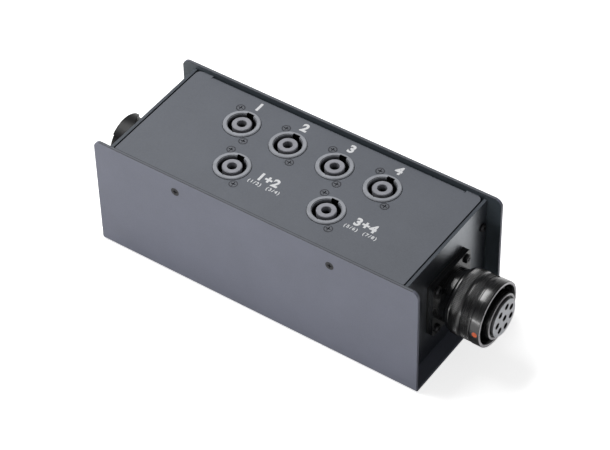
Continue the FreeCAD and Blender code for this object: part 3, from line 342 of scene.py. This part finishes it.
def moulded(name, tone, roughness=0.42, dirt=0.75, deep=None, keyed=False, bored=False):
    """Moulded plastic: clouding and grain; painted shade, black, below a depth, in key slots or
    bores.
    """
    p = Paint(name, roughness=roughness, IOR=1.49)
    cloud = p.band(p.noise(160.0, 5.0, 0.65), 0.25, 0.65)
    base = p.mix(cloud, shade(tone, dirt), tone)
    # Painted shade: black below a set depth, darker downwards.
    if deep is not None:
        base = p.mix(p.above(PANEL_TOP + deep[0] * MM, PANEL_TOP + deep[1] * MM), DEEP_SHADE, base)
    if keyed:
        base = key_slots(p, base)
    if bored:
        base = bore_mouths(p, base)
    p.colour(base)
    p.rough(p.band(p.noise(2200.0, 2.0), 0.3, 0.7, roughness - 0.06, roughness + 0.08))
    p.bump(p.noise(5200.0, 2.0), 0.006 * MM)
    return p.mat


def key_slots(p, base):
    """Painted shade: black between two radii of a socket's collar, below its top face."""
    away = p.from_socket()
    slot = p.maths("MULTIPLY", p.band(away, 9.0 * MM, 9.2 * MM), p.band(away, 10.8 * MM, 10.6 * MM))
    slot = p.maths("MULTIPLY", slot, p.above(COLLAR_TOP - 0.05 * MM, COLLAR_TOP - 0.15 * MM))
    return p.mix(slot, base, SLOT_SHADE)


def bore_mouths(p, base):
    """Painted shade: dark mouths on the right connector's holes, and a dark rim at its insert's
    edge.
    """
    mouth = p.band(p.nearest_bore(7, 8.1 * MM, 76.0), 2.1 * MM, 2.25 * MM)
    base = p.mix(mouth, BORE_SHADE, base)
    return p.mix(p.band(p.from_axis()[0], 12.4 * MM, 12.5 * MM), base, BORE_SHADE)


def metal(name, tone, roughness, along=(1.0, 1.0, 1.0), metallic=1.0, head=False):
    """Metal with turning or rolling marks and uneven oxide; a socket screw's rim gets painted
    shadow.
    """
    p = Paint(name, roughness=roughness, metallic=metallic)
    cloud = p.band(p.noise(220.0, 4.0, 0.6), 0.25, 0.75)
    base = p.mix(cloud, shade(tone, 0.72), tone)
    if head:
        # Painted shadow: a dark ring round the screw's head.
        away = p.from_socket(side=9.5 * MM, up=12.0 * MM)
        base = p.mix(p.band(away, 2.0 * MM, 2.4 * MM), base, HEAD_GAP_SHADOW)
    p.colour(base)
    lines = p.noise(1.0, 3.0, 0.6, p.stretched(tuple(a * 3200.0 for a in along)))
    p.rough(p.band(lines, 0.3, 0.7, roughness - 0.06, roughness + 0.1))
    p.bump(lines, 0.004 * MM)
    return p.mat


def anodised(name, tone, roughness, coat, specular=0.7, face=None, rim=0.0):
    """Black anodised: turning rings about X, rubbed specks, a worn rim at a face painted as a
    highlight.
    """
    p = Paint(name, roughness=roughness, Coat_Weight=coat, Coat_Roughness=0.1,
              Specular_IOR_Level=specular)
    wear = p.band(p.noise(1300.0, 6.0, 0.8), 0.66, 0.76)
    cloud = p.band(p.noise(300.0, 3.0, 0.6), 0.3, 0.7)
    base = p.mix(cloud, shade(tone, 0.6), tone)
    base = p.mix(p.maths("MULTIPLY", wear, 0.5), base, RUBBED_BLACK)
    if face is not None:
        # A worn rim, painted bright as a highlight.
        base = p.mix(p.above(face - rim, face - 0.1 * MM, axis="X"), base, WORN_RIM_HIGHLIGHT)
    p.colour(base)
    rings = p.noise(1.0, 3.0, 0.5, p.stretched((5200.0, 60.0, 60.0)))
    p.rough(p.band(rings, 0.3, 0.7, roughness - 0.05, roughness + 0.12))
    p.bump(rings, 0.004 * MM)
    return p.mat


def insulated(name, tone):
    """Lead insulation with faint extrusion marks."""
    p = Paint(name, roughness=0.38)
    p.colour(p.mix(p.band(p.noise(500.0, 3.0), 0.3, 0.7), shade(tone, 0.7), tone))
    p.bump(p.noise(1.0, 2.0, 0.5, p.stretched((200.0, 3000.0, 3000.0))), 0.01 * MM)
    return p.mat


def printed(name, tone):
    """Screen-printed ink with thin spots."""
    p = Paint(name, roughness=0.55)
    thin = p.band(p.noise(2600.0, 4.0, 0.7), 0.56, 0.72)
    p.colour(p.mix(p.maths("MULTIPLY", thin, 0.35), tone, THIN_INK))
    p.bump(p.noise(2600.0, 2.0), 0.01 * MM)
    return p.mat


PANEL = powder("panel_powder_coat", srgb(104, 108, 116), 1500.0, 0.04 * MM, 0.62, 0.3)
SHELL = powder("shell_powder_coat", srgb(108, 111, 125), 3000.0, 0.012 * MM, 0.5, 0.08,
               folded=True)
PLATE = satin("plate_satin_paint", srgb(15, 18, 24), 0.33)
ZINC = metal("zinc_plate", srgb(178, 180, 178), 0.32, along=(0.3, 1.0, 0.05))
BLACK_STEEL = metal("blackened_steel", srgb(40, 40, 42), 0.36, metallic=0.6)
SPRING = metal("spring_steel", srgb(165, 165, 165), 0.28)
CONTACT = metal("contact_plating", srgb(205, 178, 108), 0.3)
HEAD = metal("painted_head", srgb(122, 125, 132), 0.34, metallic=0.3, head=True)
HOUSING = moulded("socket_moulding", srgb(167, 170, 177), deep=(-2.4, 0.2), keyed=True)
POST = moulded("post_moulding", srgb(164, 165, 173), deep=(-4.4, -1.3))
INSERT = moulded("insert_moulding", srgb(206, 208, 214), 0.35, 0.88)
BORED_INSERT = moulded("bored_insert_moulding", srgb(222, 224, 230), 0.35, 0.88, bored=True)
RUBBER = moulded("gasket_rubber", srgb(34, 34, 35), 0.75)
ORANGE = moulded("position_orange", srgb(240, 108, 58), 0.25)
NYLON = moulded("tie_nylon", srgb(222, 220, 210), 0.4)
BLACK = anodised("connector_black", srgb(20, 20, 22), 0.2, 0.1, face=RING_FACE, rim=0.15 * MM)
SHELL_BLACK = anodised("connector_shell_black", srgb(20, 20, 22), 0.2, 0.1, face=BARREL_FACE,
                       rim=0.2 * MM)
MATT_BLACK = anodised("receptacle_black", srgb(17, 17, 19), 0.4, 0.0, specular=0.3)
LOOM = insulated("loom_insulation", srgb(34, 35, 38))
BRANCH = insulated("branch_insulation", srgb(150, 40, 34))
INK = printed("legend_ink", srgb(232, 233, 235))

LOOKS = {"outer_shell": SHELL, "top_panel": PANEL, "end_plate_left": PLATE,
         "end_plate_right": PLATE, "coupling_ring": BLACK, "ring_connector_shell": SHELL_BLACK,
         "receptacle_shell": MATT_BLACK, "ring_connector_gasket": RUBBER,
         "receptacle_gasket": RUBBER, "ring_connector_insert": BORED_INSERT,
         "receptacle_insert": INSERT, "receptacle_pins": CONTACT, "ring_position_dot": ORANGE,
         "loom_ties": NYLON, "through_loom": LOOM, "coupling_wave_spring": SPRING,
         "coupling_snap_ring": SPRING, "coupling_pins": BLACK_STEEL, "socket_screws": HEAD}
PATTERNS = (("_housing", HOUSING), ("socket_leads", BRANCH), ("bracket", ZINC),
            ("screws", BLACK_STEEL), ("insert_nut", BLACK), ("nuts", ZINC),
            ("_insert", POST), ("_contacts", CONTACT))


def look_of(name):
    """The material of a CAD node."""
    if name in LOOKS:
        return LOOKS[name]
    return next(look for part, look in PATTERNS if part in name)


# ---------------------------------------------------------------- the CAD nodes

def dress_nodes():
    """Give every CAD node its material and smooth normals, and the sheets a small rounded edge."""
    for name, item in NODES.items():
        item.data.materials.clear()
        item.data.materials.append(look_of(name))
        weld = item.modifiers.new("weld", "WELD")
        weld.merge_threshold = 0.001 * MM
        if name in SHEETS:
            round_edges(item, 0.22 * MM)
        smooth(item, 32)
        if name in SHEETS:
            flat = item.modifiers.new("flat_faces", "WEIGHTED_NORMAL")
            flat.weight = 100
            flat.keep_sharp = True


def round_edges(item, width):
    """A small bevel on sharp edges."""
    bevel = item.modifiers.new("edge", "BEVEL")
    bevel.width = width
    bevel.segments = 2
    bevel.limit_method = "ANGLE"
    bevel.angle_limit = math.radians(40)


def smooth(item, angle):
    """Smooth shading below an angle."""
    for face in item.data.polygons:
        face.use_smooth = True
    group = item.modifiers.new("smooth", "NODES")
    group.node_group = smooth_group(angle)


def smooth_group(angle):
    """Node group that marks edges sharper than the angle."""
    name = "smooth_%d" % angle
    if name in bpy.data.node_groups:
        return bpy.data.node_groups[name]
    tree = bpy.data.node_groups.new(name, "GeometryNodeTree")
    tree.interface.new_socket("Geometry", in_out="INPUT", socket_type="NodeSocketGeometry")
    tree.interface.new_socket("Geometry", in_out="OUTPUT", socket_type="NodeSocketGeometry")
    start = tree.nodes.new("NodeGroupInput")
    end = tree.nodes.new("NodeGroupOutput")
    bend = tree.nodes.new("GeometryNodeInputMeshEdgeAngle")
    sharp = tree.nodes.new("FunctionNodeCompare")
    sharp.operation = "GREATER_THAN"
    sharp.inputs[1].default_value = math.radians(angle)
    faces = tree.nodes.new("GeometryNodeSetShadeSmooth")
    edges = tree.nodes.new("GeometryNodeSetShadeSmooth")
    edges.domain = "EDGE"
    edges.inputs["Shade Smooth"].default_value = False
    tree.links.new(start.outputs[0], faces.inputs["Geometry"])
    tree.links.new(bend.outputs["Unsigned Angle"], sharp.inputs[0])
    tree.links.new(faces.outputs["Geometry"], edges.inputs["Geometry"])
    tree.links.new(sharp.outputs["Result"], edges.inputs["Selection"])
    tree.links.new(edges.outputs["Geometry"], end.inputs[0])
    return tree


# ---------------------------------------------------------------- coupling ring

AROUND = 720
TEETH = 120

# Outline of the ring in mm: places along the axis from its rear edge, and radii.
REAR_RIM = ((0.0, 15.4), (0.0, 19.6), (0.1, 19.85), (0.4, 20.0), (1.9, 20.0), (2.15, 19.9),
            (2.25, 19.7), (2.35, 20.3))
GROOVE = ((8.65, 20.6), (9.1, 20.15), (9.7, 20.1), (9.8, 19.9), (9.95, 20.1), (10.2, 20.6))
SMOOTH_BAND = ((16.6, 20.7), (17.1, 20.7), (17.25, 20.75), (17.6, 21.2), (17.8, 21.36),
               (18.0, 21.4), (23.6, 21.4), (23.95, 21.33), (24.2, 21.12), (24.3, 20.85))
INSIDE = ((24.3, 19.95), (24.2, 19.6), (23.9, 19.35), (9.2, 19.3), (9.2, 15.4))

# The two knurled bands in mm: each one's start, its root and crest radius, and their length.
STRAIGHT_BAND = (2.5, 20.65, 21.15)
CROSSED_BAND = (10.5, 20.6, 21.15)
BAND_LONG = 6.0
BAND_CHAMFER = 0.35
CROSSED_ROWS = 28
CROSSED_LEAD = 1.5


def loop(x, radius, relief=None):
    """One closed ring of points about the connector axis; relief adds to the radius per step."""
    points = []
    for step in range(AROUND):
        angle = 2.0 * math.pi * step / AROUND
        r = (radius + (relief(step) if relief else 0.0)) * MM
        points.append((RING_START + x * MM, r * math.cos(angle), AXIS_HIGH + r * math.sin(angle)))
    return points


def tooth(turns):
    """Triangle wave from 0 to 1 with a period of one turn."""
    part = turns % 1.0
    return 1.0 - abs(2.0 * part - 1.0)


def straight_knurl(start, low, high):
    """Loops of a straight-toothed band with chamfered ends."""
    loops = []
    for x, share in ((0.0, 0.0), (BAND_CHAMFER, 1.0), (BAND_LONG - BAND_CHAMFER, 1.0),
                     (BAND_LONG, 0.0)):
        loops.append(loop(start + x, low, lambda step, s=share: s * (high - low)
                          * min(1.0, 1.35 * tooth(step * TEETH / AROUND))))
    return loops


def crossed_knurl(start, low, high):
    """Loops of a crossed knurl: two sets of grooves that run opposite ways."""
    loops = []
    for row in range(CROSSED_ROWS + 1):
        x = BAND_LONG * row / CROSSED_ROWS
        edge = min(1.0, x / BAND_CHAMFER, (BAND_LONG - x) / BAND_CHAMFER)

        def relief(step, x=x, edge=edge):
            turn = step * TEETH / AROUND
            cross = min(tooth(turn + x / CROSSED_LEAD), tooth(turn - x / CROSSED_LEAD))
            return edge * (high - low) * min(1.0, 1.5 * cross)
        loops.append(loop(start + x, low, relief))
    return loops


def coupling_ring():
    """The turning ring with its knurled bands, in place of the plainer CAD one."""
    loops = [loop(*point) for point in REAR_RIM]
    loops += straight_knurl(*STRAIGHT_BAND)
    loops += [loop(*point) for point in GROOVE]
    loops += crossed_knurl(*CROSSED_BAND)
    loops += [loop(*point) for point in SMOOTH_BAND + INSIDE]
    points = [p for ring in loops for p in ring]
    faces = []
    for row in range(len(loops)):
        near, far = row * AROUND, (row + 1) % len(loops) * AROUND
        for step in range(AROUND):
            after = (step + 1) % AROUND
            faces.append((near + step, near + after, far + after, far + step))
    mesh = bpy.data.meshes.new("coupling_ring_knurled")
    mesh.from_pydata(points, [], faces)
    mesh.materials.append(BLACK)
    piece = bpy.data.objects.new("coupling_ring_knurled", mesh)
    bpy.context.collection.objects.link(piece)
    smooth(piece, 40)
    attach(piece, "ring")
    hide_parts("coupling_ring")


# ---------------------------------------------------------------- printed numbers

def number(name, text, centre, height, bold=0.045, spacing=1.12):
    """Plain figures printed on the top panel, reading along X; centre and height in mm."""
    curve = bpy.data.curves.new(name, "FONT")
    curve.body = text
    curve.align_x = "CENTER"
    curve.align_y = "CENTER"
    curve.offset = bold
    curve.space_character = spacing
    item = bpy.data.objects.new(name, curve)
    bpy.context.collection.objects.link(item)
    bpy.context.view_layer.update()
    mesh = bpy.data.meshes.new_from_object(item)
    bpy.data.objects.remove(item)
    xs = [v.co.x for v in mesh.vertices]
    ys = [v.co.y for v in mesh.vertices]
    scale = height / (max(ys) - min(ys)) * MM
    middle = ((max(xs) + min(xs)) / 2, (max(ys) + min(ys)) / 2)
    for v in mesh.vertices:
        v.co.x = (v.co.x - middle[0]) * scale + centre[0] * MM
        v.co.y = (v.co.y - middle[1]) * scale + centre[1] * MM
        v.co.z = PANEL_TOP + 0.012 * MM
    mesh.materials.clear()
    mesh.materials.append(INK)
    piece = bpy.data.objects.new(name, mesh)
    bpy.context.collection.objects.link(piece)
    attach(piece, "box")


def numbers():
    """The outlets' numbers: one per back socket, pairs and contact numbers at the front ones."""
    for socket in (1, 2, 3, 4):
        x, y = socket_place(socket)
        number("number_%d" % socket, str(socket), (x, y + 18.6), 7.2)
    for socket, side, pair, contacts, beside in ((5, "left", "1+2", "(1/2)  (3/4)", 26.1),
                                                 (6, "right", "3+4", "(5/6)  (7/8)", 26.7)):
        x, y = socket_place(socket)
        number("pair_" + side, pair, (x + beside, y + 2.4), 7.0)
        number("contacts_" + side, contacts, (x + beside, y - 4.2), 3.4, 0.03, 1.4)


# ---------------------------------------------------------------- stage

FLOOR_HALF = 4.0
FLOOR_GLOW = 0.75


def softbox(name, size, place, target, power):
    """A rectangular studio lamp that faces a point."""
    lamp = bpy.data.lights.new(name, "AREA")
    lamp.shape = "RECTANGLE"
    lamp.size, lamp.size_y = size
    lamp.energy = power
    item = bpy.data.objects.new(name, lamp)
    item.location = place
    item.rotation_euler = (Vector(target) - Vector(place)).to_track_quat("-Z", "Y").to_euler()
    bpy.context.collection.objects.link(item)


def floor():
    """Pale floor whose own glow carries the white background; in mirrors a painted shadow near the
    box.
    """
    corners = [(-FLOOR_HALF, -FLOOR_HALF, 0), (FLOOR_HALF, -FLOOR_HALF, 0),
               (FLOOR_HALF, FLOOR_HALF, 0), (-FLOOR_HALF, FLOOR_HALF, 0)]
    mesh = bpy.data.meshes.new("floor")
    mesh.from_pydata(corners, [], [(0, 1, 2, 3)])
    item = bpy.data.objects.new("floor", mesh)
    bpy.context.collection.objects.link(item)
    p = Paint("floor_white", roughness=0.9, Base_Color=(0.9, 0.9, 0.9, 1.0))
    # Painted shadow in mirrors: the glow glossy rays see is left out over the box's footprint and
    # fades in 50 mm beyond it.
    beyond_right = p.maths("SUBTRACT", p.place("X"), cad_box[1][0] + 1.5 * MM)
    beyond_left = p.maths("SUBTRACT", SHELL_LEFT, p.place("X"))
    beyond_sides = p.maths("SUBTRACT", p.outward(), WALL_OUT)
    beyond = p.maths("MAXIMUM", p.maths("MAXIMUM", beyond_right, beyond_sides), beyond_left)
    clear = p.band(beyond, -5.0 * MM, 50.0 * MM)
    path = p.new("ShaderNodeLightPath")
    mirrored = p.maths("MULTIPLY", path.outputs["Is Glossy Ray"], clear)
    seen = p.maths("MAXIMUM", path.outputs["Is Camera Ray"], mirrored)
    glow = p.new("ShaderNodeEmission")
    p.link(p.maths("MULTIPLY", seen, FLOOR_GLOW), glow.inputs["Strength"])
    both = p.new("ShaderNodeAddShader")
    p.link(p.shader.outputs[0], both.inputs[0])
    p.link(glow.outputs[0], both.inputs[1])
    p.link(both.outputs[0], p.tree.nodes["Material Output"].inputs["Surface"])
    mesh.materials.append(p.mat)


def world():
    """White seen from the camera, dim as a light source, and darker upwards in reflections."""
    studio = bpy.data.worlds.new("studio")
    bpy.context.scene.world = studio
    studio.use_nodes = True
    p = Nodes(studio.node_tree)
    path = p.new("ShaderNodeLightPath")
    height = p.part(p.new("ShaderNodeTexCoord").outputs["Generated"], "Z")
    mirrored = p.band(height, 0.05, 0.55, 0.85, 0.12)
    unseen = p.blend(path.outputs["Is Glossy Ray"], 0.16, mirrored)
    level = p.blend(path.outputs["Is Camera Ray"], unseen, 1.0)
    ground = p.tree.nodes["Background"]
    ground.inputs["Color"].default_value = (1, 1, 1, 1)
    p.link(level, ground.inputs["Strength"])


def camera(azimuth, elevation, roll, offset, lens):
    """Camera by its angles in degrees, its offset to the side, up and back in mm, and its lens."""
    azimuth, elevation, roll = (math.radians(v) for v in (azimuth, elevation, roll))
    back = Vector((math.sin(azimuth) * math.cos(elevation),
                   -math.cos(azimuth) * math.cos(elevation), math.sin(elevation)))
    right = Vector((math.cos(azimuth), math.sin(azimuth), 0))
    up = back.cross(right)
    x_axis = right * math.cos(roll) + up * math.sin(roll)
    y_axis = up * math.cos(roll) - right * math.sin(roll)
    side, rise, far = offset
    place = (x_axis * -side + y_axis * -rise + back * far) * MM
    data = bpy.data.cameras.new("camera")
    data.sensor_width = 36.0
    data.lens = lens
    data.clip_start = 0.05
    data.clip_end = 30.0
    item = bpy.data.objects.new("camera", data)
    turn = Matrix((x_axis, y_axis, back)).transposed()
    item.matrix_world = Matrix.Translation(place) @ turn.to_4x4()
    bpy.context.collection.objects.link(item)
    bpy.context.scene.camera = item


def stage():
    """Floor, world, lamps and camera."""
    floor()
    world()
    camera(azimuth=35.691, elevation=44.532, roll=-1.438, offset=(-4.266, -26.834, 1544.906),
           lens=146.2591)
    softbox("overhead", size=(0.95, 0.5), place=(-0.56, 0.02, 1.28), target=(0, 0, 0.04),
            power=14.5)
    softbox("front_card", size=(1.5, 0.07), place=(-0.2, -0.95, 0.038), target=(0.02, 0, 0.03),
            power=3.9)
    bpy.context.scene.view_settings.view_transform = "Standard"


dress_nodes()
coupling_ring()
numbers()
stage()
